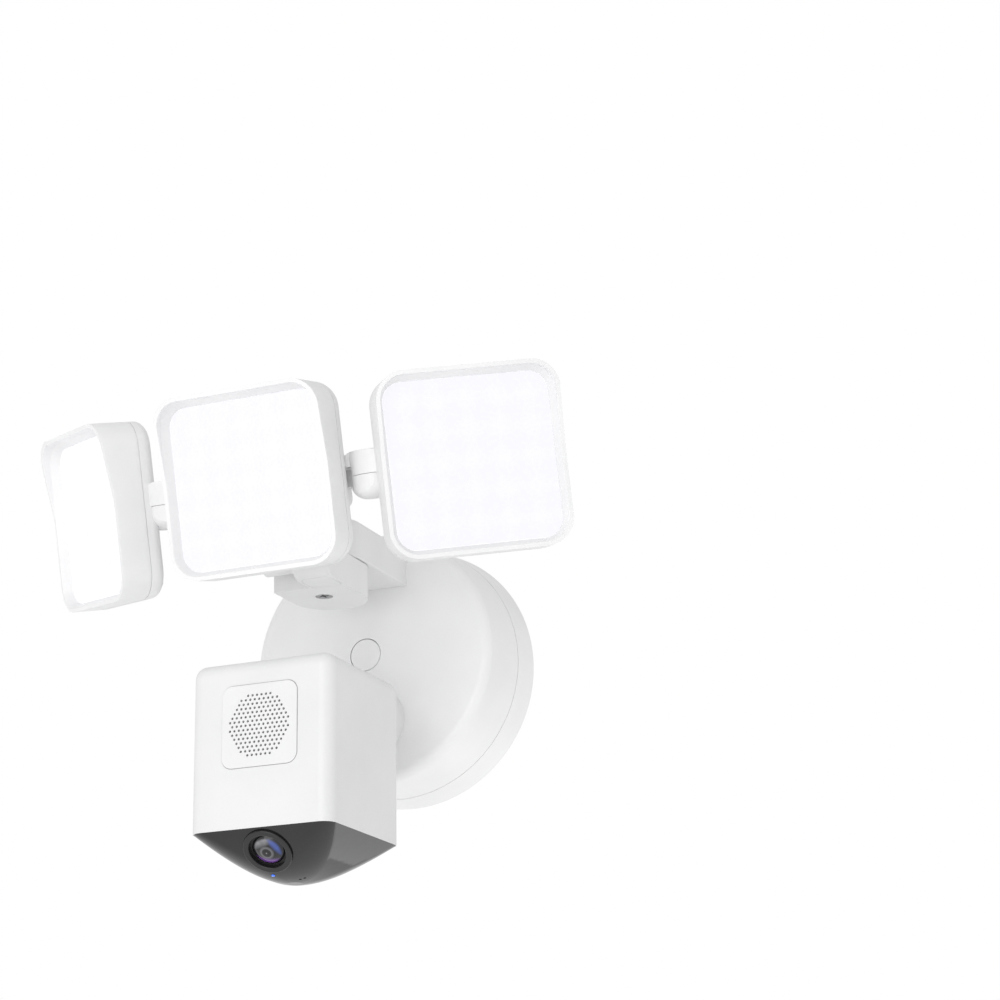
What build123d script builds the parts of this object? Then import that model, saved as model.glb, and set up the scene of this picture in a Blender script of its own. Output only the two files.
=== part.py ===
from build123d import *
import os
from math import cos, sin, radians

os.makedirs("parts", exist_ok=True)

# ---------------------------------------------------------------- dimensions (mm)
# Frame: wall plane is Y = 0, the light faces -Y, +Z is up, origin at the base's centre.
base_radius = 65.0
cover_radius = 62.9
cover_front_radius = 62.1
plate_depth = 14.3
base_depth = 47.8
gasket_thick = 1.5
wall = 2.6
box_screw_pcd = 88.9
wire_hole_radius = 12.0

button_x = -3.0
button_z = 2.0
button_hole_radius = 8.15
button_radius = 7.85

arm_half_width = 19.0
arm_low = 33.8
arm_high = 52.3
pan_y = -98.0
pan_screw_radius = 3.0
swivel_half_width = 18.0
swivel_low = 17.9
swivel_high = 33.3
swivel_rear_y = -92.5
swivel_left_front = -114.0
tilt_y = -122.0
tilt_z = 30.0
knuckle_radius = 12.0

head_tilt = 14.81
head_y = -176.56
head_z = 51.41
panel_size = 82.76
panel_corner = 13.0
panel_depth = 21.26
panel_seam = 13.71
hood = 5.1
rim_wall = 1.8
lens_size = 75.0
lens_corner = 9.0
hinge_x = 53.53
hinge_back = 30.0
hinge_side = 36.64
side_drop = -3.41
right_yaw = 33.58
left_yaw = -38.84
boss_at = 33.6

cam_half_width = 34.75
cam_front = -160.0
cam_back = -89.0
cam_top = -25.8
cam_low = -101.4
cam_mid_y = (cam_front + cam_back) / 2
cam_pan_y = -58.0
cam_pan_z = -31.6
cam_tilt_y = -79.0
cam_tilt_z = -40.0
lens_tilt = 46.7
grille_z = -56.0
grille_pitch = 2.2
grille_reach = 15.1
visor_depth = 19.5
signal_x = -4.5
signal_y = -137.0
lens_y = -151.1
lens_z = -110.5

# ---------------------------------------------------------------- planes
head_normal = (0, -cos(radians(head_tilt)), -sin(radians(head_tilt)))
centre_plane = Plane(origin=(0, head_y, head_z), x_dir=(1, 0, 0), z_dir=head_normal)


def bar_dir(x, z):
    """World direction of a vector lying in the light bar's horizontal plane."""
    return centre_plane.x_dir * x + centre_plane.z_dir * z


def side_plane_of(side, yaw):
    """Front plane of a side panel: side is 1 on the right and -1 on the left."""
    hinge = centre_plane.from_local_coords((side * hinge_x, side_drop, -hinge_back))
    across = bar_dir(cos(radians(yaw)), -sin(radians(yaw)))
    forward = bar_dir(sin(radians(yaw)), cos(radians(yaw)))
    origin = hinge + across * (side * hinge_side) + forward * hinge_back
    return Plane(origin=origin, x_dir=across, z_dir=forward)


panels = {
    "centre": centre_plane,
    "left": side_plane_of(-1, left_yaw),
    "right": side_plane_of(1, right_yaw),
}
sides = {"left": -1, "right": 1}
bracket_screw_points = [(-9, 43), (9, 43), (-12.5, cam_pan_z), (12.5, cam_pan_z)]
corners = [(boss_at, boss_at), (-boss_at, boss_at), (-boss_at, -boss_at), (boss_at, -boss_at)]


def front_plane(y):
    """A plane facing the front at depth y, with x to the right and y up."""
    return Plane(origin=(0, y, 0), x_dir=(1, 0, 0), z_dir=(0, -1, 0))


# ---------------------------------------------------------------- base
with BuildPart() as wall_gasket:
    with BuildSketch(front_plane(0)):
        Circle(63.6)
        Circle(59.0, mode=Mode.SUBTRACT)
    extrude(amount=gasket_thick)
wall_gasket.part.label = "wall_gasket"
export_step(wall_gasket.part, "parts/wall_gasket.step")

with BuildPart() as mounting_plate:
    with BuildSketch(front_plane(0)):
        Circle(base_radius)
    with BuildSketch(front_plane(-plate_depth)):
        Circle(cover_radius)
    loft()
    with BuildSketch(front_plane(0)):
        Circle(63.6)
        Circle(59.0, mode=Mode.SUBTRACT)
    extrude(amount=gasket_thick, mode=Mode.SUBTRACT)
    with BuildSketch(front_plane(-4.5)):
        Circle(59.6)
    extrude(amount=12, mode=Mode.SUBTRACT)
    with BuildSketch(front_plane(0)):
        Circle(wire_hole_radius)
        with PolarLocations(box_screw_pcd / 2, 2):
            Circle(2.5)
    extrude(amount=10, mode=Mode.SUBTRACT)
    with BuildSketch(front_plane(0)):
        with PolarLocations(52, 3, start_angle=90):
            Circle(1.7)
    extrude(amount=10, mode=Mode.SUBTRACT)
    with BuildSketch(front_plane(0)):
        with PolarLocations(52, 3, start_angle=90):
            Circle(3.4)
    extrude(amount=1.6, mode=Mode.SUBTRACT)
    with BuildSketch(front_plane(-4.4)):
        with Locations((-33, -17), (33, -17), (-33, 25), (33, 25)):
            Circle(3.0)
    extrude(amount=24.6)
mounting_plate.part.label = "mounting_plate"
export_step(mounting_plate.part, "parts/mounting_plate.step")

with BuildPart() as base_cover:
    with BuildSketch(front_plane(-plate_depth - 0.35)):
        Circle(cover_radius - 0.1)
    with BuildSketch(front_plane(-base_depth)):
        Circle(cover_front_radius)
    loft()
    fillet(base_cover.faces().sort_by(Axis.Y)[0].edges(), 4.5)
    with BuildSketch(front_plane(-plate_depth)):
        Circle(cover_front_radius - wall)
    extrude(amount=base_depth - plate_depth - 3.0, mode=Mode.SUBTRACT)
    with BuildSketch(front_plane(-5.5)):
        Circle(59.2)
        Circle(57.4, mode=Mode.SUBTRACT)
    extrude(amount=plate_depth + 0.35 - 5.5 + 2.5)
    with BuildSketch(front_plane(-4.5)):
        with PolarLocations(52, 3, start_angle=90):
            Circle(4.2)
            Circle(1.25, mode=Mode.SUBTRACT)
    extrude(amount=base_depth - 4.5 - 3.0)
    with BuildSketch(front_plane(-base_depth + 5)):
        with Locations((button_x, button_z)):
            Circle(button_hole_radius)
        with Locations(*bracket_screw_points):
            Circle(1.4)
        with Locations((0, 43)):
            RectangleRounded(10, 6, 2)
        with Locations((0, cam_pan_z)):
            Circle(4.0)
    extrude(amount=10, mode=Mode.SUBTRACT)
base_cover.part.label = "base_cover"
export_step(base_cover.part, "parts/base_cover.step")

with BuildPart() as base_screws:
    with BuildSketch(front_plane(-0.2)):
        with PolarLocations(52, 3, start_angle=90):
            Circle(3.2)
    extrude(amount=1.4)
    with BuildSketch(front_plane(-1.0)):
        with PolarLocations(52, 3, start_angle=90):
            Circle(1.23)
    extrude(amount=16)
    with BuildSketch(front_plane(-0.2)):
        with PolarLocations(52, 3, start_angle=90):
            Rectangle(3.6, 0.7)
            Rectangle(0.7, 3.6)
    extrude(amount=0.8, mode=Mode.SUBTRACT)
base_screws.part.label = "base_screws"
export_step(base_screws.part, "parts/base_screws.step")

with BuildPart() as power_board:
    with BuildSketch(front_plane(-29.0)):
        with Locations((0, 4)):
            RectangleRounded(76, 52, 4)
    extrude(amount=1.6)
power_board.part.label = "power_board"
export_step(power_board.part, "parts/power_board.step")

with BuildPart() as transformer:
    with BuildSketch(front_plane(-14.0)):
        with Locations((-16, 14)):
            RectangleRounded(24, 20, 2)
    extrude(amount=15)
transformer.part.label = "transformer"
export_step(transformer.part, "parts/transformer.step")

with BuildPart() as capacitors:
    with BuildSketch(front_plane(-13.0)):
        with Locations((22, 18), (22, 3)):
            Circle(5.5)
    extrude(amount=16)
capacitors.part.label = "capacitors"
export_step(capacitors.part, "parts/capacitors.step")

with BuildPart() as terminal_block:
    with BuildSketch(front_plane(-19.0)):
        with Locations((0, -13)):
            RectangleRounded(30, 10, 1)
            with GridLocations(9, 1, 3, 1):
                Circle(1.6, mode=Mode.SUBTRACT)
    extrude(amount=10)
terminal_block.part.label = "terminal_block"
export_step(terminal_block.part, "parts/terminal_block.step")

with BuildPart() as button_switch:
    with BuildSketch(front_plane(-30.6)):
        with Locations((button_x, button_z)):
            RectangleRounded(6.2, 6.2, 0.6)
    extrude(amount=3.6)
    with BuildSketch(front_plane(-34.2)):
        with Locations((button_x, button_z)):
            Circle(1.7)
    extrude(amount=1.2)
button_switch.part.label = "button_switch"
export_step(button_switch.part, "parts/button_switch.step")

with BuildPart() as base_button:
    with BuildSketch(front_plane(-44.4)):
        with Locations((button_x, button_z)):
            Circle(button_radius)
    extrude(amount=3.5)
    fillet(base_button.faces().sort_by(Axis.Y)[0].edges(), 0.5)
    with BuildSketch(front_plane(-42.8)):
        with Locations((button_x, button_z)):
            Circle(9.6)
    extrude(amount=1.8)
    with BuildSketch(front_plane(-36.6)):
        with Locations((button_x, button_z)):
            Circle(2.2)
    extrude(amount=6.4)
base_button.part.label = "base_button"
export_step(base_button.part, "parts/base_button.step")

# ---------------------------------------------------------------- light arm
with BuildPart() as light_arm:
    with BuildSketch(Plane.XY.offset(arm_low)):
        with Locations((0, (-base_depth + pan_y) / 2)):
            Rectangle(2 * arm_half_width, -pan_y - base_depth)
        with Locations((0, pan_y)):
            RectangleRounded(2 * arm_half_width, 30, 14.9)
    extrude(amount=arm_high - arm_low)
    fillet(light_arm.faces().sort_by(Axis.Z)[-1].edges(), 2.5)
    fillet(light_arm.faces().sort_by(Axis.Z)[0].edges(), 0.8)
    with BuildSketch(Plane(origin=(0, -base_depth, 0), x_dir=(1, 0, 0), z_dir=(0, -1, 0))):
        with Locations((0, (arm_low + arm_high) / 2)):
            RectangleRounded(14, 9, 2)
        with Locations((-9, 43), (9, 43)):
            Circle(1.2)
    extrude(amount=32, mode=Mode.SUBTRACT)
    with BuildSketch(Plane.XY.offset(arm_low - 1)):
        with Locations((0, pan_y)):
            Circle(pan_screw_radius)
    extrude(amount=12, mode=Mode.SUBTRACT)
light_arm.part.label = "light_arm"
export_step(light_arm.part, "parts/light_arm.step")

with BuildPart() as bracket_screws:
    with BuildSketch(front_plane(-base_depth + 4.4)):
        with Locations(*bracket_screw_points):
            Circle(3.2)
    extrude(amount=1.4)
    with BuildSketch(front_plane(-base_depth + 3.0)):
        with Locations(*bracket_screw_points):
            Circle(1.18)
    extrude(amount=10)
bracket_screws.part.label = "bracket_screws"
export_step(bracket_screws.part, "parts/bracket_screws.step")

with BuildPart() as pan_screw:
    with BuildSketch(Plane.XY.offset(swivel_low + 0.3)):
        with Locations((0, pan_y)):
            Circle(3.8)
    extrude(amount=2.6)
    with BuildSketch(Plane.XY.offset(swivel_low + 2.0)):
        with Locations((0, pan_y)):
            Circle(pan_screw_radius - 0.02)
    extrude(amount=24)
    with BuildSketch(Plane.XY.offset(swivel_low)):
        with Locations((0, pan_y)):
            Rectangle(4.6, 1.0)
            Rectangle(1.0, 4.6)
    extrude(amount=1.6, mode=Mode.SUBTRACT)
pan_screw.part.label = "pan_screw"
export_step(pan_screw.part, "parts/pan_screw.step")

# ---------------------------------------------------------------- swivel block
with BuildPart() as swivel_outer:
    with BuildSketch(Plane.XY.offset(swivel_low)):
        with Locations((0, swivel_rear_y)):
            Circle(swivel_half_width)
        with Locations((0, (swivel_rear_y + swivel_left_front) / 2)):
            Rectangle(2 * swivel_half_width, swivel_rear_y - swivel_left_front)
    extrude(amount=swivel_high - swivel_low)
    with BuildSketch(Plane.YZ):
        with Locations((tilt_y, tilt_z)):
            Circle(knuckle_radius)
        with Locations(((tilt_y + swivel_left_front) / 2 + 1, (swivel_low + swivel_high) / 2 + 0.05)):
            Rectangle(swivel_left_front - tilt_y + 2, swivel_high - swivel_low - 0.1)
    extrude(amount=swivel_half_width)

with BuildPart() as lug_cover_shape:
    with BuildSketch(Plane.XY.offset(swivel_low - 2)):
        with Locations((9.2, -119.2)):
            RectangleRounded(15.2, 12.6, 2.6)
    extrude(amount=4.2)
    add(swivel_outer.part, mode=Mode.INTERSECT)
with BuildPart() as lug_pocket_shape:
    with BuildSketch(Plane.XY.offset(swivel_low - 2)):
        with Locations((9.2, -119.2)):
            RectangleRounded(15.6, 13.0, 2.8)
    extrude(amount=4.2)

with BuildPart() as lug_cover:
    add(lug_cover_shape.part)
lug_cover.part.label = "lug_cover"
export_step(lug_cover.part, "parts/lug_cover.step")

with BuildPart() as swivel_block:
    add(swivel_outer.part)
    add(lug_pocket_shape.part, mode=Mode.SUBTRACT)
    with BuildSketch(Plane.XY.offset(arm_low - 0.4)):
        with Locations((0, pan_y)):
            Circle(19.7)
    extrude(amount=20, mode=Mode.SUBTRACT)
    with BuildSketch(Plane.XY.offset(swivel_low - 1)):
        with Locations((0, pan_y)):
            Circle(pan_screw_radius + 0.03)
    extrude(amount=30, mode=Mode.SUBTRACT)
    with BuildSketch(Plane.XY.offset(swivel_low - 1)):
        with Locations((0, pan_y)):
            Circle(4.15)
    extrude(amount=4.2, mode=Mode.SUBTRACT)
    with BuildSketch(Plane.YZ.offset(-0.5)):
        with Locations((tilt_y, tilt_z)):
            Circle(2.5)
    extrude(amount=15.5, mode=Mode.SUBTRACT)
swivel_block.part.label = "swivel_block"
export_step(swivel_block.part, "parts/swivel_block.step")

with BuildPart() as tilt_bolt:
    with BuildSketch(Plane.YZ.offset(-18.5)):
        with Locations((tilt_y, tilt_z)):
            Circle(2.5)
    extrude(amount=33)
    with BuildSketch(Plane.YZ.offset(-21.3)):
        with Locations((tilt_y, tilt_z)):
            Circle(4.6)
    extrude(amount=2.8)
    with BuildSketch(Plane.YZ.offset(-21.3)):
        with Locations((tilt_y, tilt_z)):
            RegularPolygon(2.3, 6)
    extrude(amount=1.6, mode=Mode.SUBTRACT)
tilt_bolt.part.label = "tilt_bolt"
export_step(tilt_bolt.part, "parts/tilt_bolt.step")

# ---------------------------------------------------------------- light bar
bar_side = Plane(origin=centre_plane.origin, x_dir=centre_plane.y_dir, z_dir=centre_plane.x_dir)
tilt_local = centre_plane.to_local_coords(Vector(0, tilt_y, tilt_z))

with BuildPart() as light_bar:
    with BuildSketch(centre_plane.offset(-25.0)):
        with Locations((0, side_drop)):
            RectangleRounded(71, 26, 5)
    extrude(amount=-11)
    fillet(light_bar.faces().sort_by(Axis.Y)[-1].edges(), 2.0)
    with BuildSketch(centre_plane.offset(-panel_depth)):
        with Locations((0, side_drop)):
            RectangleRounded(44, 20, 4)
    extrude(amount=-5)
    with BuildSketch(bar_side.offset(-17.8)):
        with BuildLine():
            Polyline(
                (tilt_local.Y - 4.0, tilt_local.Z - 5.1),
                (tilt_local.Y + 5.1, tilt_local.Z - 4.0),
                (side_drop + 4.0, -35.5),
                (side_drop - 11.0, -35.5),
                (tilt_local.Y + 1.0, tilt_local.Z + 6.4),
                close=True,
            )
        make_face()
        with Locations((tilt_local.Y, tilt_local.Z)):
            Circle(6.5)
    extrude(amount=17.4)
    with BuildSketch(bar_side.offset(-19)):
        with Locations((tilt_local.Y, tilt_local.Z)):
            Circle(2.56)
    extrude(amount=20, mode=Mode.SUBTRACT)
    with BuildSketch(centre_plane.offset(-36)):
        with Locations((-15, side_drop + 7), (15, side_drop + 7), (15, side_drop - 7)):
            Circle(3.3)
    extrude(amount=2.2, mode=Mode.SUBTRACT)
    with BuildSketch(centre_plane.offset(-36)):
        with Locations((-15, side_drop + 7), (15, side_drop + 7), (15, side_drop - 7)):
            Circle(1.6)
    extrude(amount=20, mode=Mode.SUBTRACT)
    with BuildSketch(centre_plane.offset(-34.1)):
        with Locations((-32, side_drop), (32, side_drop)):
            Rectangle(8, 8.2)
    extrude(amount=8.2, mode=Mode.SUBTRACT)
light_bar.part.label = "light_bar"
export_step(light_bar.part, "parts/light_bar.step")

with BuildPart() as bar_screws:
    with BuildSketch(centre_plane.offset(-35.8)):
        with Locations((-15, side_drop + 7), (15, side_drop + 7), (15, side_drop - 7)):
            Circle(3.0)
    extrude(amount=1.8)
    with BuildSketch(centre_plane.offset(-34.5)):
        with Locations((-15, side_drop + 7), (15, side_drop + 7), (15, side_drop - 7)):
            Circle(1.5)
    extrude(amount=15.2)
bar_screws.part.label = "bar_screws"
export_step(bar_screws.part, "parts/bar_screws.step")

# ---------------------------------------------------------------- the three light panels
for key, plane in panels.items():
    side_view = Plane(origin=plane.origin, x_dir=plane.y_dir, z_dir=plane.x_dir)
    half = panel_size / 2

    with BuildPart() as housing:
        with BuildSketch(plane.offset(-panel_seam)):
            RectangleRounded(panel_size, panel_size, panel_corner)
        extrude(amount=panel_seam + hood)
        with BuildSketch(side_view):
            with BuildLine():
                Polyline(
                    (-half - 1, 0),
                    (3, 0),
                    (half, hood),
                    (half + 1, hood),
                    (half + 1, hood + 4),
                    (-half - 1, hood + 4),
                    close=True,
                )
            make_face()
        extrude(amount=panel_size, both=True, mode=Mode.SUBTRACT)
        with BuildSketch(plane):
            inner = panel_size - 2 * rim_wall
            RectangleRounded(inner, inner, panel_corner - rim_wall)
        extrude(amount=hood + 1, mode=Mode.SUBTRACT)
        with BuildSketch(plane):
            RectangleRounded(inner, inner, panel_corner - rim_wall)
        with BuildSketch(plane.offset(-4.5)):
            RectangleRounded(lens_size, lens_size, lens_corner)
        loft(mode=Mode.SUBTRACT)
        with BuildSketch(plane.offset(-4.4)):
            RectangleRounded(lens_size, lens_size, lens_corner)
        extrude(amount=-3, mode=Mode.SUBTRACT)
        with BuildSketch(plane.offset(-6.3)):
            RectangleRounded(panel_size - 5, panel_size - 5, panel_corner - 2.5)
        extrude(amount=-10, mode=Mode.SUBTRACT)
        with BuildSketch(plane.offset(-8.5)):
            with Locations(*corners):
                Circle(3.5)
        extrude(amount=-(panel_seam - 8.5))
        with BuildSketch(plane.offset(-8.5)):
            with Locations(*corners):
                Circle(1.2)
        extrude(amount=-10, mode=Mode.SUBTRACT)
    housing.part.label = key + "_housing"
    export_step(housing.part, "parts/" + key + "_housing.step")

    with BuildPart() as lens:
        with BuildSketch(plane.offset(-6.35)):
            RectangleRounded(lens_size + 2.2, lens_size + 2.2, lens_corner + 1.1)
        extrude(amount=-1.5)
        with BuildSketch(plane.offset(-6.4)):
            RectangleRounded(lens_size - 0.3, lens_size - 0.3, lens_corner - 0.15)
        extrude(amount=2.3)
        fillet(lens.faces().sort_by(Axis(plane.origin, plane.z_dir))[-1].edges(), 0.6)
    lens.part.label = key + "_lens"
    export_step(lens.part, "parts/" + key + "_lens.step")

    with BuildPart() as led_board:
        with BuildSketch(plane.offset(-10.2)):
            RectangleRounded(64, 64, 6)
        extrude(amount=-1.6)
    led_board.part.label = key + "_led_board"
    export_step(led_board.part, "parts/" + key + "_led_board.step")

    with BuildPart() as leds:
        with BuildSketch(plane.offset(-10.2)):
            with GridLocations(11.5, 11.5, 5, 5):
                Rectangle(3.2, 3.2)
        extrude(amount=0.8)
    leds.part.label = key + "_leds"
    export_step(leds.part, "parts/" + key + "_leds.step")

    with BuildPart() as back_shell:
        with BuildSketch(plane.offset(-panel_seam)):
            RectangleRounded(panel_size, panel_size, panel_corner)
        extrude(amount=-(panel_depth - panel_seam))
        fillet(back_shell.faces().sort_by(Axis(plane.origin, plane.z_dir))[0].edges(), 4.5)
        with BuildSketch(plane.offset(-panel_seam)):
            RectangleRounded(panel_size - 5, panel_size - 5, panel_corner - 2.5)
        extrude(amount=-(panel_depth - panel_seam - 2.2), mode=Mode.SUBTRACT)
        with BuildSketch(plane.offset(-panel_seam)):
            RectangleRounded(panel_size + 2, panel_size + 2, panel_corner + 1)
            RectangleRounded(panel_size - 0.8, panel_size - 0.8, panel_corner - 0.4, mode=Mode.SUBTRACT)
        extrude(amount=-0.45, mode=Mode.SUBTRACT)
        with BuildSketch(plane.offset(-panel_seam)):
            with Locations(*corners):
                Circle(3.3)
        extrude(amount=-(panel_depth - panel_seam - 0.8))
        with BuildSketch(plane.offset(-panel_seam)):
            with Locations(*corners):
                Circle(1.3)
        extrude(amount=-12, mode=Mode.SUBTRACT)
        with BuildSketch(plane.offset(-panel_depth)):
            with Locations(*corners):
                Circle(2.9)
        extrude(amount=1.5, mode=Mode.SUBTRACT)
        if key == "centre":
            with BuildSketch(plane.offset(-panel_depth)):
                with Locations((-15, side_drop + 7), (15, side_drop + 7), (15, side_drop - 7)):
                    Circle(1.52)
            extrude(amount=3, mode=Mode.SUBTRACT)
    back_shell.part.label = key + "_back_shell"
    export_step(back_shell.part, "parts/" + key + "_back_shell.step")

    with BuildPart() as panel_screws:
        with BuildSketch(plane.offset(-panel_depth + 0.1)):
            with Locations(*corners):
                Circle(2.65)
        extrude(amount=1.4)
        with BuildSketch(plane.offset(-panel_depth + 1.0)):
            with Locations(*corners):
                Circle(1.18)
        extrude(amount=10)
        with BuildSketch(plane.offset(-panel_depth + 0.1)):
            with Locations(*corners):
                Rectangle(3.0, 0.7)
                Rectangle(0.7, 3.0)
        extrude(amount=0.8, mode=Mode.SUBTRACT)
    panel_screws.part.label = key + "_panel_screws"
    export_step(panel_screws.part, "parts/" + key + "_panel_screws.step")

# ---------------------------------------------------------------- side panel hinges
tongue_half = 4.0
slot_half = 4.5
socket_reach = 14.2
for key, side in sides.items():
    plane = panels[key]
    hinge_point = plane.from_local_coords((-side * hinge_side, 0, -hinge_back))
    # x runs along the panel, y runs backwards and z runs up the hinge pin
    hinge = Plane(origin=hinge_point, x_dir=plane.x_dir, z_dir=plane.y_dir)
    outer = -side

    with BuildPart() as envelope:
        with BuildSketch(plane.offset(-2)):
            RectangleRounded(panel_size, panel_size, panel_corner)
        extrude(amount=-(panel_depth - 2))
        fillet(envelope.faces().sort_by(Axis(plane.origin, plane.z_dir))[0].edges(), 4.5)

    with BuildPart() as slot_shape:
        with BuildSketch(hinge.offset(-slot_half)):
            Circle(8.2)
            with BuildLine():
                Polyline(
                    (0, 0),
                    (outer * 30 * cos(radians(12)), 30 * sin(radians(12))),
                    (outer * 30 * cos(radians(36)), 30 * sin(radians(36))),
                    (outer * 30 * cos(radians(58)), 30 * sin(radians(58))),
                    close=True,
                )
            make_face()
            with Locations(Location((0, 0, 0), (0, 0, outer * 12 if outer > 0 else 180 - 12))):
                with Locations((13, 0)):
                    Rectangle(26, 2 * slot_half)
            with Locations(Location((0, 0, 0), (0, 0, 58 if outer > 0 else 180 - 58))):
                with Locations((13, 0)):
                    Rectangle(26, 2 * slot_half)
        extrude(amount=2 * slot_half)
        with BuildSketch(hinge.offset(-6.2)):
            Circle(8.2)
        extrude(amount=12.4)

    with BuildPart() as swing_room:
        with BuildSketch(hinge.offset(-14)):
            with Locations((outer * 10, -10)):
                Rectangle(20, 20)
            Circle(socket_reach, mode=Mode.SUBTRACT)
        extrude(amount=28)

    with BuildPart() as socket_cap:
        with BuildSketch(hinge.offset(0.1)):
            with Locations((outer * 2.15, -2.2)):
                RectangleRounded(28.3, 23.6, 8.5)
        extrude(amount=10.9)
        fillet(socket_cap.faces().sort_by(Axis(hinge.origin, hinge.z_dir))[-1].edges(), 2.5)
        add(envelope.part, mode=Mode.SUBTRACT)
        add(slot_shape.part, mode=Mode.SUBTRACT)
        add(swing_room.part, mode=Mode.SUBTRACT)
        with BuildSketch(hinge):
            Circle(2.2)
        extrude(amount=9, mode=Mode.SUBTRACT)
    socket_cap.part.label = key + "_socket_cap"
    export_step(socket_cap.part, "parts/" + key + "_socket_cap.step")

    with BuildPart() as socket_base:
        with BuildSketch(hinge.offset(-0.1)):
            with Locations((outer * 1.3, -1.6)):
                RectangleRounded(26.6, 22.4, 9.5)
        extrude(amount=-10.4)
        fillet(socket_base.faces().sort_by(Axis(hinge.origin, hinge.z_dir))[0].edges(), 7.0)
        add(envelope.part, mode=Mode.SUBTRACT)
        add(slot_shape.part, mode=Mode.SUBTRACT)
        add(swing_room.part, mode=Mode.SUBTRACT)
        with BuildSketch(hinge):
            Circle(2.2)
        extrude(amount=-8.6, mode=Mode.SUBTRACT)
    socket_base.part.label = key + "_socket_base"
    export_step(socket_base.part, "parts/" + key + "_socket_base.step")

    with BuildPart() as hinge_pin:
        with BuildSketch(hinge.offset(-8.4)):
            Circle(2.2)
        extrude(amount=17.2)
    hinge_pin.part.label = key + "_hinge_pin"
    export_step(hinge_pin.part, "parts/" + key + "_hinge_pin.step")

    reach = hinge_x - 35.5 + 6.0
    bar_hinge = Plane(origin=hinge_point, x_dir=centre_plane.x_dir, z_dir=centre_plane.y_dir)
    with BuildPart() as hinge_arm:
        with BuildSketch(bar_hinge.offset(-5.8)):
            Circle(7.8)
        extrude(amount=11.6)
        with BuildSketch(bar_hinge.offset(-tongue_half)):
            with Locations((-side * reach / 2, 0)):
                Rectangle(reach, 2 * tongue_half)
        extrude(amount=2 * tongue_half)
        with BuildSketch(bar_hinge.offset(-7)):
            Circle(2.26)
        extrude(amount=14, mode=Mode.SUBTRACT)
    hinge_arm.part.label = key + "_hinge_arm"
    export_step(hinge_arm.part, "parts/" + key + "_hinge_arm.step")

# ---------------------------------------------------------------- camera mount
with BuildPart() as camera_socket:
    with BuildSketch(Plane(origin=(0, 0, cam_pan_z), x_dir=(0, -1, 0), z_dir=(1, 0, 0))):
        with BuildLine():
            Polyline((base_depth, 0), (base_depth, 17.5), (base_depth + 5, 17.5))
            ThreePointArc((base_depth + 5, 17.5), (base_depth + 14.4, 14.2), (base_depth + 20, 7.5))
            Polyline((base_depth + 20, 7.5), (base_depth + 20, 0), (base_depth, 0))
        make_face()
    revolve(axis=Axis((0, 0, cam_pan_z), (0, 1, 0)))
    with BuildSketch(Plane.XY.offset(cam_pan_z - 6.2)):
        with Locations((0, cam_pan_y)):
            Circle(7.4)
        with BuildLine():
            Polyline((0, cam_pan_y + 5), (28, cam_pan_y - 19), (28, -110), (-28, -110),
                     (-28, cam_pan_y - 19), close=True)
        make_face()
    extrude(amount=12.4, mode=Mode.SUBTRACT)
    with BuildSketch(Plane.XY.offset(cam_pan_z - 10)):
        with Locations((0, cam_pan_y)):
            Circle(2.0)
    extrude(amount=20, mode=Mode.SUBTRACT)
    with BuildSketch(front_plane(-base_depth)):
        with Locations((-12.5, cam_pan_z), (12.5, cam_pan_z)):
            Circle(1.2)
    extrude(amount=8, mode=Mode.SUBTRACT)
camera_socket.part.label = "camera_socket"
export_step(camera_socket.part, "parts/camera_socket.step")

with BuildPart() as camera_pan_pin:
    with BuildSketch(Plane.XY.offset(cam_pan_z - 9.8)):
        with Locations((0, cam_pan_y)):
            Circle(2.0)
    extrude(amount=19.6)
camera_pan_pin.part.label = "camera_pan_pin"
export_step(camera_pan_pin.part, "parts/camera_pan_pin.step")

with BuildPart() as camera_swivel:
    with BuildSketch(Plane.XY.offset(cam_pan_z - 5.8)):
        with Locations((0, cam_pan_y)):
            Circle(7.0)
    extrude(amount=11.6)
    with BuildSketch(Plane.YZ):
        with BuildLine():
            Polyline(
                (cam_pan_y, cam_pan_z - 5),
                (cam_pan_y, cam_pan_z + 5),
                (cam_pan_y - 10.5, cam_pan_z + 5),
                (cam_tilt_y - 2, cam_tilt_z + 5.2),
                (cam_tilt_y - 2, cam_tilt_z - 5.2),
                (cam_pan_y - 10.5, cam_pan_z - 5),
                close=True,
            )
        make_face()
        with Locations((cam_tilt_y, cam_tilt_z)):
            Circle(6.0)
    extrude(amount=4.5, both=True)
    with BuildSketch(Plane.XY.offset(cam_pan_z - 10)):
        with Locations((0, cam_pan_y)):
            Circle(2.06)
    extrude(amount=20, mode=Mode.SUBTRACT)
    with BuildSketch(Plane.YZ):
        with Locations((cam_tilt_y, cam_tilt_z)):
            Circle(2.06)
    extrude(amount=8, both=True, mode=Mode.SUBTRACT)
camera_swivel.part.label = "camera_swivel"
export_step(camera_swivel.part, "parts/camera_swivel.step")

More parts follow.
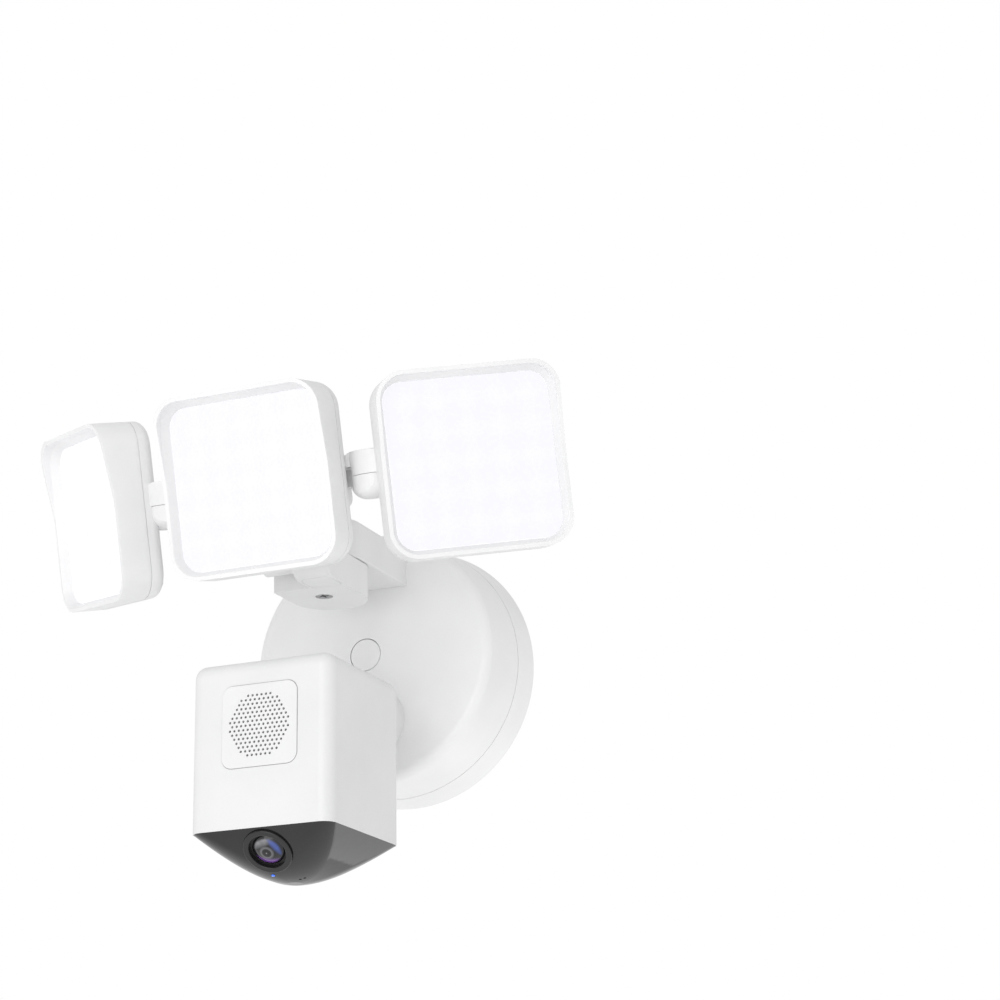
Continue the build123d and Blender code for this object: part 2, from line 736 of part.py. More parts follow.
# ---------------------------------------------------------------- camera body
with BuildPart() as camera_housing:
    with BuildSketch(Plane.XY.offset(cam_low)):
        with Locations((0, cam_mid_y)):
            RectangleRounded(2 * cam_half_width, cam_back - cam_front, 6.0)
    extrude(amount=cam_top - cam_low)
    fillet(camera_housing.faces().sort_by(Axis.Z)[-1].edges(), 5.9)
    with BuildSketch(Plane.XY.offset(cam_low)):
        with Locations((0, cam_mid_y + 0.1)):
            RectangleRounded(2 * cam_half_width - 5.2, cam_back - cam_front - 5.4, 3.6)
    extrude(amount=cam_top - cam_low - 3.0, mode=Mode.SUBTRACT)
    with BuildSketch(front_plane(cam_back + 1)):
        with Locations((0, -64.0)):
            RectangleRounded(60, 62, 5)
    extrude(amount=8, mode=Mode.SUBTRACT)
    with BuildSketch(front_plane(cam_front + 6)):
        with Locations((0, grille_z)):
            Circle(16.2)
    extrude(amount=10, mode=Mode.SUBTRACT)
    with BuildSketch(front_plane(cam_front)):
        with Locations((0, grille_z)):
            RectangleRounded(37.4, 37.4, 5.2)
    extrude(amount=-1.4, mode=Mode.SUBTRACT)
camera_housing.part.label = "camera_housing"
export_step(camera_housing.part, "parts/camera_housing.step")

with BuildPart() as camera_rear_cover:
    with BuildSketch(front_plane(cam_back)):
        with Locations((0, -64.0)):
            RectangleRounded(59.6, 61.6, 4.8)
    extrude(amount=2.4)
    with BuildSketch(Plane.YZ.offset(4.9)):
        with Locations((cam_tilt_y, cam_tilt_z)):
            Circle(6.0)
        with Locations(((cam_tilt_y + cam_back) / 2, cam_tilt_z)):
            Rectangle(cam_tilt_y - cam_back, 12)
    extrude(amount=4.5)
    with BuildSketch(Plane.YZ.offset(-4.9)):
        with Locations((cam_tilt_y, cam_tilt_z)):
            Circle(6.0)
        with Locations(((cam_tilt_y + cam_back) / 2, cam_tilt_z)):
            Rectangle(cam_tilt_y - cam_back, 12)
    extrude(amount=-4.5)
    with BuildSketch(Plane.YZ):
        with Locations((cam_tilt_y, cam_tilt_z)):
            Circle(2.0)
    extrude(amount=12, both=True, mode=Mode.SUBTRACT)
    with BuildSketch(front_plane(cam_back)):
        with Locations((-26, -40), (26, -40), (-26, -89), (26, -89)):
            Circle(1.25)
    extrude(amount=3, mode=Mode.SUBTRACT)
camera_rear_cover.part.label = "camera_rear_cover"
export_step(camera_rear_cover.part, "parts/camera_rear_cover.step")

with BuildPart() as rear_cover_screws:
    with BuildSketch(front_plane(cam_back + 1.2)):
        with Locations((-26, -40), (26, -40), (-26, -89), (26, -89)):
            Circle(2.4)
            Rectangle(2.8, 0.6, mode=Mode.SUBTRACT)
    extrude(amount=1.2)
    with BuildSketch(front_plane(cam_back)):
        with Locations((-26, -40), (26, -40), (-26, -89), (26, -89)):
            Circle(1.2)
    extrude(amount=7)
rear_cover_screws.part.label = "rear_cover_screws"
export_step(rear_cover_screws.part, "parts/rear_cover_screws.step")

with BuildPart() as camera_tilt_bolt:
    with BuildSketch(Plane.YZ.offset(-11)):
        with Locations((cam_tilt_y, cam_tilt_z)):
            Circle(2.0)
    extrude(amount=22)
    with BuildSketch(Plane.YZ.offset(9.5)):
        with Locations((cam_tilt_y, cam_tilt_z)):
            Circle(3.8)
    extrude(amount=2.4)
camera_tilt_bolt.part.label = "camera_tilt_bolt"
export_step(camera_tilt_bolt.part, "parts/camera_tilt_bolt.step")

with BuildPart() as speaker_grille:
    with BuildSketch(front_plane(cam_front + 1.4)):
        with Locations((0, grille_z)):
            RectangleRounded(37.0, 37.0, 5.0)
    extrude(amount=2.0)
    fillet(speaker_grille.faces().sort_by(Axis.Y)[0].edges(), 0.4)
    with BuildSketch(front_plane(cam_front + 3)):
        dots = []
        for row in range(-8, 9):
            for column in range(-9, 10):
                dot_x = (column + 0.5 * (row % 2)) * grille_pitch
                dot_z = row * grille_pitch * 0.866
                if dot_x * dot_x + dot_z * dot_z < grille_reach * grille_reach:
                    dots.append((dot_x, dot_z + grille_z))
        with Locations(*dots):
            Circle(0.58)
    extrude(amount=8, mode=Mode.SUBTRACT)
speaker_grille.part.label = "speaker_grille"
export_step(speaker_grille.part, "parts/speaker_grille.step")

with BuildPart() as speaker:
    with BuildSketch(front_plane(cam_front + 1.5)):
        with Locations((0, grille_z)):
            Circle(16.0)
            Circle(14.6, mode=Mode.SUBTRACT)
    extrude(amount=-6)
    with BuildSketch(front_plane(cam_front + 4.0)):
        with Locations((0, grille_z)):
            Circle(14.7)
    extrude(amount=-3.5)
    with BuildSketch(front_plane(cam_front + 7.4)):
        with Locations((0, grille_z)):
            Circle(10.0)
    extrude(amount=-8)
speaker.part.label = "speaker"
export_step(speaker.part, "parts/speaker.step")

with BuildPart() as main_board:
    with BuildSketch(front_plane(-104.0)):
        with Locations((0, -62.0)):
            RectangleRounded(56, 58, 3)
    extrude(amount=1.6)
main_board.part.label = "main_board"
export_step(main_board.part, "parts/main_board.step")

# ---------------------------------------------------------------- visor and lens
# The visor hangs as a vault: its half width falls with the root of what is left of its depth.
visor_half = 34.55
visor_corners = {0: 6, 0.1: 7.6, 0.25: 9.4, 0.45: 11.2, 0.65: 11.6, 0.82: 10.2, 0.94: 7.4, 0.99: 3.2}
visor_steps = []
for share, radius in visor_corners.items():
    visor_steps.append((visor_depth * share, visor_half * (1 - share) ** 0.5, radius))
lens_normal = (0, -cos(radians(lens_tilt)), -sin(radians(lens_tilt)))
lens_plane = Plane(origin=(0, lens_y, lens_z), x_dir=(1, 0, 0), z_dir=lens_normal)

with BuildPart() as camera_visor:
    for drop, half_width, radius in visor_steps:
        with BuildSketch(Plane.XY.offset(cam_low - drop)):
            with Locations((0, cam_mid_y)):
                RectangleRounded(2 * half_width, 2 * half_width + 1.4, radius)
    loft()
    for drop, half_width, radius in visor_steps[:5]:
        with BuildSketch(Plane.XY.offset(cam_low - drop)):
            with Locations((0, cam_mid_y)):
                RectangleRounded(2 * half_width - 6, 2 * half_width - 4.6, radius - 2.6)
    loft(mode=Mode.SUBTRACT)
    with BuildSketch(lens_plane.offset(-1.4)):
        Circle(11.4)
    extrude(amount=8, mode=Mode.SUBTRACT)
    with BuildSketch(lens_plane.offset(2)):
        Circle(9.6)
    extrude(amount=-12, mode=Mode.SUBTRACT)
    with BuildSketch(Plane.XY.offset(-130)):
        with Locations((5.4, -130.5), (7.6, -130.5)):
            Circle(0.62)
        with Locations((signal_x, signal_y)):
            Circle(0.9)
    extrude(amount=20, mode=Mode.SUBTRACT)
camera_visor.part.label = "camera_visor"
export_step(camera_visor.part, "parts/camera_visor.step")

with BuildPart() as lens_ring:
    with BuildSketch(lens_plane.offset(-1.4)):
        Circle(11.25)
        Circle(8.6, mode=Mode.SUBTRACT)
    extrude(amount=2.2)
    fillet(lens_ring.faces().sort_by(Axis(lens_plane.origin, lens_plane.z_dir))[-1].edges(), 0.5)
lens_ring.part.label = "lens_ring"
export_step(lens_ring.part, "parts/lens_ring.step")

with BuildPart() as lens_barrel:
    with BuildSketch(lens_plane.offset(-1.4)):
        Circle(9.5)
    extrude(amount=-3)
    with BuildSketch(lens_plane.offset(-4.4)):
        Circle(8.6)
    extrude(amount=-12)
    with BuildSketch(lens_plane.offset(-1.4)):
        Circle(7.5)
    extrude(amount=-0.8, mode=Mode.SUBTRACT)
    with BuildSketch(lens_plane.offset(-2.1)):
        Circle(7.1)
    with BuildSketch(lens_plane.offset(-6.0)):
        Circle(4.4)
    loft(mode=Mode.SUBTRACT)
    with BuildSketch(lens_plane.offset(-5.9)):
        Circle(4.0)
    extrude(amount=-3, mode=Mode.SUBTRACT)
lens_barrel.part.label = "lens_barrel"
export_step(lens_barrel.part, "parts/lens_barrel.step")

with BuildPart() as glass_ball:
    with Locations(lens_plane.offset(-10.5).location):
        Sphere(12.0)
with BuildPart() as lens_glass:
    with BuildSketch(lens_plane.offset(-2.15)):
        Circle(7.4)
    extrude(amount=5)
    add(glass_ball.part, mode=Mode.INTERSECT)
lens_glass.part.label = "lens_glass"
export_step(lens_glass.part, "parts/lens_glass.step")

with BuildPart() as inner_lens:
    with BuildSketch(lens_plane.offset(-8.8)):
        Circle(3.9)
    extrude(amount=2.4)
    fillet(inner_lens.faces().sort_by(Axis(lens_plane.origin, lens_plane.z_dir))[-1].edges(), 1.4)
inner_lens.part.label = "inner_lens"
export_step(inner_lens.part, "parts/inner_lens.step")

with BuildPart() as status_light:
    with BuildSketch(Plane.XY.offset(cam_low - 17.4)):
        with Locations((signal_x, signal_y)):
            Circle(0.8)
    extrude(amount=3.0)
status_light.part.label = "status_light"
export_step(status_light.part, "parts/status_light.step")
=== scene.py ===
import math
import bpy
from bpy.props import FloatProperty, FloatVectorProperty, PointerProperty
from mathutils import Euler, Matrix, Vector


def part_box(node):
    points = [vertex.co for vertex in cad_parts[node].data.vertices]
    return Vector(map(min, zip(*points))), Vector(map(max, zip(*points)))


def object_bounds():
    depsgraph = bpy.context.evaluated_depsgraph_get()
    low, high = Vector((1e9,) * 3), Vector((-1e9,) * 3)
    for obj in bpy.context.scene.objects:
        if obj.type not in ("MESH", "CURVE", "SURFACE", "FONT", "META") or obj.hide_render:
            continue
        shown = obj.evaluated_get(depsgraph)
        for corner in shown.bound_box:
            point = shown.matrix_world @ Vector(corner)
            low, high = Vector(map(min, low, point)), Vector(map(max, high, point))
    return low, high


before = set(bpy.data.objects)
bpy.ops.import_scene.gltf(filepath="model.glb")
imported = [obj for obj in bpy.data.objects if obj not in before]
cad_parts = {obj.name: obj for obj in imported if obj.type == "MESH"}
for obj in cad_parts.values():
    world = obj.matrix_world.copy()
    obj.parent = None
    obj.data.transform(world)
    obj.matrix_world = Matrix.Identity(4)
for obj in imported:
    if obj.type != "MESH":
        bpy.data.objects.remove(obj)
CAD_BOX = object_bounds()

bl_info = {
    "name": "Floodlight Camera Finishes",
    "version": (1, 0, 0),
    "blender": (4, 5, 0),
    "location": "View3D > Sidebar > Floodlight",
    "description": "Finishes, lights and camera for a wall floodlight with a security camera",
    "category": "Object",
}

LAMPS = ("centre", "left", "right")
LED_GRID = 6  # light points along each side of a lamp
LENS_TILT = math.radians(46.7)  # how far the lens looks down from level
PRISMS_PER_METRE = 560.0
BOARD_CELLS_PER_METRE = 160.0
FLOOR_REACH = 12.0
SENSOR_WIDTH = 36.0
KEY_OFFSET = Vector((0.05, -1.8, -0.05))  # from the middle of the object
KEY_SIZE = (1.5, 1.5)
CARD_OFFSET = Vector((0.42, 0.85, -0.68))
CARD_SIZE = (0.8, 0.6)


# ------------------------------------------------------------------ settings


def colour_setting(label, description, default):
    """A colour that shows as a swatch in the panel."""
    return FloatVectorProperty(
        name=label, description=description, default=default,
        size=3, min=0.0, max=1.0, subtype="COLOR",
    )


def factor_setting(label, description, default, highest=1.0):
    """A plain number from nothing to its highest value."""
    return FloatProperty(
        name=label, description=description, default=default, min=0.0, max=highest,
    )


def length_setting(label, description, default):
    """A small length in metres."""
    return FloatProperty(
        name=label, description=description, default=default,
        min=0.0, precision=6, unit="LENGTH", subtype="DISTANCE",
    )


class PlasticSettings(bpy.types.PropertyGroup):
    """The white mouldings."""

    white: colour_setting("White", "Colour of the white mouldings", (0.83, 0.83, 0.83))
    shade: colour_setting("Shade", "Colour that the white drifts towards", (0.79, 0.79, 0.795))
    roughness: factor_setting("Roughness", "Middle roughness of the satin finish", 0.38)
    grain: length_setting("Grain", "Size of the spark-eroded grain", 0.0006)
    grain_depth: length_setting("Grain depth", "Depth of the grain", 0.000008)
    bleed: factor_setting("Bleed", "How far lamp light soaks into the housings", 0.25)
    bleed_radius: length_setting("Bleed radius", "Distance that light travels in", 0.0025)
    # Painted glow: emission in the white of the housings.
    painted_hood_glow: factor_setting("Painted hood glow", "Painted glow standing in for light shining through the housings", 0.04)


class LampSettings(bpy.types.PropertyGroup):
    """The lit diffusers and what lies behind them."""

    lit: colour_setting("Lit", "Colour of a lit diffuser", (0.97, 0.965, 1.0))
    between: colour_setting("Between", "Colour between the light points", (0.93, 0.93, 0.975))
    glow: factor_setting("Glow", "Brightness of a lit diffuser", 0.9, 20.0)
    phosphor: colour_setting("Phosphor", "Colour of the light points", (1.0, 0.86, 0.42))


class EyeSettings(bpy.types.PropertyGroup):
    """The black visor, the lens with its painted highlight and reflections, and its small light."""

    visor: colour_setting("Visor", "Colour of the visor", (0.014, 0.014, 0.015))
    visor_roughness: factor_setting("Visor roughness", "Polish of the visor", 0.07)
    # These three glass colours are painted light: a blue reflection, a violet reflection and a pale
    # highlight, standing in for light reflected by the coating.
    painted_blue_reflection: colour_setting("Painted blue reflection", "Painted blue reflection at the upper right of the glass", (0.06, 0.10, 0.36))
    painted_violet_reflection: colour_setting("Painted violet reflection", "Painted violet reflection at the lower left of the glass", (0.19, 0.07, 0.36))
    painted_top_highlight: colour_setting("Painted top highlight", "Painted grey highlight at the top of the glass", (0.36, 0.36, 0.38))
    signal: colour_setting("Signal", "Colour of the small signal light", (0.03, 0.16, 0.9))


class StageSettings(bpy.types.PropertyGroup):
    """The lights, the floor and the camera."""

    floor: colour_setting("Floor", "Colour of the floor", (0.9, 0.9, 0.9))
    floor_drop: FloatProperty(
        name="Floor drop", description="Height of the floor below the wall fixing",
        default=0.78, min=0.3, unit="LENGTH", subtype="DISTANCE",
    )
    floor_lift: factor_setting("Floor lift", "Light added to the floor so that it stays pale", 0.26)
    ambient: factor_setting("Ambient", "Strength of the light from all round", 0.76, 5.0)
    key: factor_setting("Key", "Power of the large front light", 11.0, 500.0)
    fill: factor_setting("Fill", "Power of the low card behind the object", 0.95, 500.0)
    lens: FloatProperty(name="Lens", description="Focal length", default=94.52, unit="CAMERA")
    place: FloatVectorProperty(
        name="Place", description="Where the camera stands",
        default=(0.5334, -1.1527, -0.3198), subtype="TRANSLATION", unit="LENGTH",
    )
    yaw: FloatProperty(
        name="Yaw", description="Turn of the camera from straight on",
        default=math.radians(22.81), subtype="ANGLE", unit="ROTATION",
    )
    pitch: FloatProperty(
        name="Pitch", description="How far the camera looks up",
        default=math.radians(18.03), subtype="ANGLE", unit="ROTATION",
    )
    roll: FloatProperty(
        name="Roll", description="Tilt of the camera about its own view",
        default=math.radians(-0.96), subtype="ANGLE", unit="ROTATION",
    )


# ------------------------------------------------------------------ material parts


class Finish:
    """A material under construction: its nodes, its links and its shader."""

    def __init__(self, name):
        self.material = bpy.data.materials.new(name)
        self.material.use_nodes = True
        self.tree = self.material.node_tree
        self.shader = self.tree.nodes["Principled BSDF"]
        self.place = self.add("ShaderNodeTexCoord").outputs["Object"]

    def add(self, kind, **values):
        """A new node with its attributes set."""
        node = self.tree.nodes.new(kind)
        for key, value in values.items():
            setattr(node, key, value)
        return node

    def link(self, output, target):
        """Joins an output to an input."""
        self.tree.links.new(output, target)

    def set(self, **sockets):
        """Sets the shader's own sockets, with _ for a space in their names."""
        for key, value in sockets.items():
            self.shader.inputs[key.replace("_", " ")].default_value = value

    def noise(self, size, detail=2.0, rough=0.5, place=None):
        """Noise whose features are about size metres across."""
        node = self.add("ShaderNodeTexNoise")
        node.inputs["Scale"].default_value = 1.0 / size
        node.inputs["Detail"].default_value = detail
        node.inputs["Roughness"].default_value = rough
        self.link(place or self.place, node.inputs["Vector"])
        return node.outputs["Fac"]

    def ramp(self, source, *stops):
        """A colour ramp; each stop is (position, colour)."""
        node = self.add("ShaderNodeValToRGB")
        elements = node.color_ramp.elements
        while len(elements) < len(stops):
            elements.new(0.5)
        for element, (position, colour) in zip(elements, stops):
            element.position = position
            element.color = (*colour, 1.0)
        self.link(source, node.inputs["Fac"])
        return node.outputs["Color"]

    def spread(self, source, low, high, start=0.3, end=0.7):
        """source, stretched from start..end to low..high."""
        node = self.add("ShaderNodeMapRange")
        for key, value in (("From Min", start), ("From Max", end), ("To Min", low), ("To Max", high)):
            node.inputs[key].default_value = value
        self.link(source, node.inputs["Value"])
        return node.outputs["Result"]

    def maths(self, operation, first, second=None):
        """One step of arithmetic on outputs or numbers."""
        node = self.add("ShaderNodeMath", operation=operation)
        for socket, value in zip(node.inputs, (first, second)):
            if value is None:
                continue
            if isinstance(value, (int, float)):
                socket.default_value = value
            else:
                self.link(value, socket)
        return node.outputs["Value"]

    def blend(self, factor, first, second):
        """A mix of two colours, each an output or a plain colour."""
        node = self.add("ShaderNodeMix", data_type="RGBA")
        self.link(factor, node.inputs["Factor"])
        for socket, value in ((node.inputs[6], first), (node.inputs[7], second)):
            if isinstance(value, tuple):
                socket.default_value = (*value, 1.0)
            else:
                self.link(value, socket)
        return node.outputs[2]

    def bump(self, height, depth, strength=1.0):
        """Raises the surface by height times depth metres."""
        node = self.add("ShaderNodeBump")
        node.inputs["Distance"].default_value = depth
        node.inputs["Strength"].default_value = strength
        self.link(height, node.inputs["Height"])
        self.link(node.outputs["Normal"], self.shader.inputs["Normal"])

    def local(self, origin, turn):
        """Position measured from origin along the axes of turn, a 3x3 matrix of columns."""
        node = self.add("ShaderNodeMapping")
        back = turn.transposed()
        node.inputs["Rotation"].default_value = back.to_euler()
        node.inputs["Location"].default_value = -(back @ origin)
        self.link(self.place, node.inputs["Vector"])
        return node.outputs["Vector"]

    def colour(self, output):
        """Drives the base colour."""
        self.link(output, self.shader.inputs["Base Color"])

    def roughness(self, output):
        """Drives the roughness."""
        self.link(output, self.shader.inputs["Roughness"])


def put(material, *names):
    """Gives the CAD nodes one material."""
    for name in names:
        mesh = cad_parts[name].data
        mesh.materials.clear()
        mesh.materials.append(material)


def darker(colour, factor):
    """A colour with each channel scaled by factor."""
    return tuple(c * factor for c in colour)


def middle(name):
    """Centre of a CAD node's box."""
    low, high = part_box(name)
    return (low + high) / 2


def facing(name):
    """The direction of a node's largest flat faces, turned to the front."""
    total = Vector()
    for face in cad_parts[name].data.polygons:
        if face.normal.y < -0.3:
            total += face.normal * face.area
    return total.normalized()


def axes_from(front, up):
    """Right, up and front as the columns of a matrix."""
    right = up.cross(front).normalized()
    return Matrix((right, front.cross(right), front)).transposed()


# ------------------------------------------------------------------ finishes


def moulded_white(name, settings, bleeds_and_painted_glow=False, polish=0.0, tone=1.0):
    """White moulded plastic with a fine spark-eroded grain and slight drifts of tone. The tone factor
    scales the white for a part as painted light, and a housing that bleeds also gets a painted glow.
    """
    finish = Finish(name)
    # tone makes lit and shaded copies of the same white: painted light, a part set brighter or darker
    # than the others.
    white, shade = darker(settings.white, tone), darker(settings.shade, tone)
    drift = finish.noise(0.045, 3.0)
    mixed = finish.ramp(drift, (0.35, shade), (0.65, white))
    specks = finish.spread(finish.noise(0.0011, 1.0), 0.0, 0.05, 0.62, 0.8)
    finish.colour(finish.blend(specks, mixed, darker(shade, 0.7)))
    middle_rough = settings.roughness - polish
    patches = finish.noise(0.009, 3.0)
    finish.roughness(finish.spread(patches, middle_rough - 0.04, middle_rough + 0.05))
    grain = finish.noise(settings.grain, 2.0, 0.6)
    finish.bump(grain, settings.grain_depth)
    finish.set(IOR=1.49, Coat_Weight=0.08 + polish, Coat_Roughness=0.25)
    if bleeds_and_painted_glow:
        finish.set(Subsurface_Weight=settings.bleed, Subsurface_Scale=settings.bleed_radius)
        # The emission is painted light: a faint glow in the white housings, standing in for lamp light
        # that shines through them.
        finish.set(Subsurface_Radius=(1.0, 1.0, 1.0), Emission_Strength=settings.painted_hood_glow)
        finish.link(mixed, finish.shader.inputs["Emission Color"])
    return finish.material


def lit_diffuser(name, node, settings):
    """Opal diffuser: a prismatic sheet, slightly brighter over each light point."""
    finish = Finish(name)
    front = facing(node)
    tilt = Vector((0.0, front.z, -front.y)).normalized()
    local = finish.local(middle(node), axes_from(front, tilt))
    low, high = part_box(node)
    pitch = (high.z - low.z) / LED_GRID
    split = finish.add("ShaderNodeSeparateXYZ")
    finish.link(local, split.inputs["Vector"])
    waves = []
    for axis in ("X", "Y"):
        turn = finish.maths("MULTIPLY", split.outputs[axis], 2 * math.pi / pitch)
        waves.append(finish.maths("COSINE", turn))
    points = finish.spread(finish.maths("ADD", *waves), 0.0, 1.0, -1.0, 2.0)
    prisms = finish.add("ShaderNodeTexVoronoi", feature="F1")
    prisms.inputs["Scale"].default_value = PRISMS_PER_METRE
    finish.link(local, prisms.inputs["Vector"])
    sparkle = finish.spread(prisms.outputs["Distance"], 0.0, 0.55, 0.2, 0.8)
    level = finish.maths("ADD", finish.maths("MULTIPLY", points, 0.6), sparkle)
    glow = finish.blend(level, tuple(settings.between), tuple(settings.lit))
    finish.link(glow, finish.shader.inputs["Emission Color"])
    finish.set(Emission_Strength=settings.glow, Base_Color=(0.08, 0.08, 0.085, 1.0))
    finish.set(IOR=1.49, Coat_Weight=0.3, Coat_Roughness=0.08)
    finish.roughness(finish.spread(finish.noise(0.004), 0.22, 0.32))
    finish.bump(prisms.outputs["Distance"], 0.00006)
    return finish.material


def turned_steel(name, colour=(0.56, 0.56, 0.58), roughness=0.3):
    """Zinc-plated steel with fine turning marks and dull patches."""
    finish = Finish(name)
    patches = finish.noise(0.0016, 4.0)
    finish.colour(finish.ramp(patches, (0.3, darker(colour, 0.8)), (0.7, colour)))
    finish.roughness(finish.spread(finish.noise(0.0004, 3.0), roughness - 0.08, roughness + 0.1))
    finish.bump(finish.noise(0.00022, 2.0), 0.00001)
    finish.set(Metallic=1.0)
    return finish.material


def dull_plastic(name, colour, roughness=0.55, grain=0.0005):
    """Matt moulded plastic or rubber with an even grain."""
    finish = Finish(name)
    drift = finish.noise(0.012, 3.0)
    finish.colour(finish.ramp(drift, (0.3, darker(colour, 0.85)), (0.7, colour)))
    finish.roughness(finish.spread(finish.noise(0.003), roughness - 0.08, roughness + 0.08))
    finish.bump(finish.noise(grain, 2.0), 0.00003)
    return finish.material


def circuit_board(name, mask, track):
    """Solder mask over copper tracks, with glassy resin beneath."""
    finish = Finish(name)
    cells = finish.add("ShaderNodeTexBrick")
    cells.inputs["Scale"].default_value = BOARD_CELLS_PER_METRE
    cells.inputs["Mortar Size"].default_value = 0.06
    cells.inputs["Color1"].default_value = (*mask, 1.0)
    cells.inputs["Color2"].default_value = (*darker(mask, 0.85), 1.0)
    cells.inputs["Mortar"].default_value = (*track, 1.0)
    finish.link(finish.place, cells.inputs["Vector"])
    finish.colour(cells.outputs["Color"])
    finish.roughness(finish.spread(finish.noise(0.003), 0.25, 0.4))
    finish.bump(cells.outputs["Fac"], 0.00003)
    return finish.material


def light_points(name, colour):
    """Yellow phosphor caps of the light-emitting chips."""
    finish = Finish(name)
    grain = finish.noise(0.0004, 3.0)
    tone = finish.ramp(grain, (0.3, darker(colour, 0.85)), (0.7, colour))
    finish.colour(tone)
    finish.link(tone, finish.shader.inputs["Emission Color"])
    finish.set(Emission_Strength=0.6)
    finish.roughness(finish.spread(grain, 0.35, 0.5))
    finish.bump(grain, 0.00002)
    return finish.material


def polished_black(name, settings, roughness):
    """Black polished plastic with a little orange peel and the odd speck of dust."""
    finish = Finish(name)
    black = tuple(settings.visor)
    dust = finish.spread(finish.noise(0.0007, 2.0), 0.0, 0.12, 0.7, 0.82)
    finish.colour(finish.blend(dust, black, (0.2, 0.2, 0.2)))
    finish.roughness(finish.spread(finish.noise(0.006, 3.0), roughness - 0.03, roughness + 0.05))
    finish.bump(finish.noise(0.007, 1.0), 0.00004)
    finish.set(IOR=1.45, Coat_Weight=0.1, Coat_Roughness=0.04)
    return finish.material


def coated_glass(name, settings, node, radius):
    """A dark coated lens: rings of its inner elements, a painted highlight at the centre, and painted
    reflections in violet, blue and pale grey on the coating.
    """
    finish = Finish(name)
    front = Vector((0.0, -math.cos(LENS_TILT), -math.sin(LENS_TILT)))
    up = Vector((0.0, -math.sin(LENS_TILT), math.cos(LENS_TILT)))
    local = finish.local(middle(node), axes_from(front, up))
    split = finish.add("ShaderNodeSeparateXYZ")
    finish.link(local, split.inputs["Vector"])
    across, upward = split.outputs["X"], split.outputs["Y"]
    squares = finish.maths(
        "ADD", finish.maths("MULTIPLY", across, across), finish.maths("MULTIPLY", upward, upward),
    )
    ring = finish.maths("DIVIDE", finish.maths("SQRT", squares), radius)
    # The grey centre stop of the rings is a painted highlight; the grey band further out is the inner
    # element's ring.
    rings_and_centre_highlight = finish.ramp(
        ring,
        (0.00, (0.30, 0.30, 0.31)), (0.07, (0.004, 0.004, 0.005)), (0.26, (0.006, 0.006, 0.008)),
        (0.33, (0.13, 0.13, 0.135)), (0.42, (0.07, 0.07, 0.075)), (0.47, (0.008, 0.008, 0.01)),
        (0.70, (0.016, 0.016, 0.018)), (0.94, (0.008, 0.008, 0.009)),
    )
    inside = finish.spread(ring, 1.0, 0.0, 0.78, 0.9)
    look = rings_and_centre_highlight
    # Painted reflections: a pale highlight at the top, a blue reflection at the upper right and a
    # violet one at the lower left, each a crescent in the outer part of the glass.
    for colour, toward, start, end in (
        (settings.painted_top_highlight, (-0.25, 0.97, 0.0), 0.40, 0.80),
        (settings.painted_blue_reflection, (0.90, 0.44, 0.0), 0.46, 0.66),
        (settings.painted_violet_reflection, (-0.25, -0.97, 0.0), 0.34, 0.62),
    ):
        reach = finish.add("ShaderNodeVectorMath", operation="DOT_PRODUCT")
        finish.link(local, reach.inputs[0])
        reach.inputs[1].default_value = Vector(toward) / radius
        reflection_crescent = finish.spread(reach.outputs["Value"], 0.0, 1.0, start, end)
        patchy_reflection = finish.maths("MULTIPLY", reflection_crescent, finish.spread(finish.noise(0.003), 0.55, 1.0))
        look = finish.blend(finish.maths("MULTIPLY", patchy_reflection, inside), look, tuple(colour))
    finish.colour(look)
    finish.roughness(finish.spread(finish.noise(0.005), 0.03, 0.06))
    finish.bump(finish.noise(0.01), 0.00002)
    finish.set(IOR=1.45, Coat_Weight=0.25, Coat_Roughness=0.02)
    return finish.material


def signal_lamp(name, colour):
    """A small clear light guide, lit from behind."""
    finish = Finish(name)
    grain = finish.noise(0.0006, 2.0)
    tone = finish.ramp(grain, (0.3, darker(colour, 0.85)), (0.7, colour))
    finish.colour(tone)
    finish.link(tone, finish.shader.inputs["Emission Color"])
    finish.set(Emission_Strength=0.9, Coat_Weight=0.5)
    finish.roughness(finish.spread(grain, 0.15, 0.25))
    return finish.material


# ------------------------------------------------------------------ operators


class FLOODLIGHT_OT_base(bpy.types.Operator):
    """Finishes the wall base, its cover, button, seal and the camera's socket"""

    bl_idname = "floodlight.base"
    bl_label = "Base"

    def execute(self, context):
        plastic = context.scene.floodlight_plastic
        # Painted light: the base cover, plate and button are brighter copies of the white (tone 1.06
        # and 1.05).
        put(moulded_white("Base cover white", plastic, tone=1.06), "base_cover", "mounting_plate")
        put(moulded_white("Button white", plastic, polish=0.05, tone=1.05), "base_button")
        put(moulded_white("Socket white", plastic), "camera_socket", "camera_swivel")
        put(dull_plastic("Wall seal rubber", (0.05, 0.05, 0.052), roughness=0.7), "wall_gasket")
        return {"FINISHED"}


class FLOODLIGHT_OT_bracket(bpy.types.Operator):
    """Finishes the arm, the swivel block and the light bar"""

    bl_idname = "floodlight.bracket"
    bl_label = "Bracket"

    def execute(self, context):
        plastic = context.scene.floodlight_plastic
        put(
            moulded_white("Bracket white", plastic),
            "light_arm", "swivel_block", "lug_cover", "light_bar", "left_hinge_arm", "right_hinge_arm",
        )
        return {"FINISHED"}


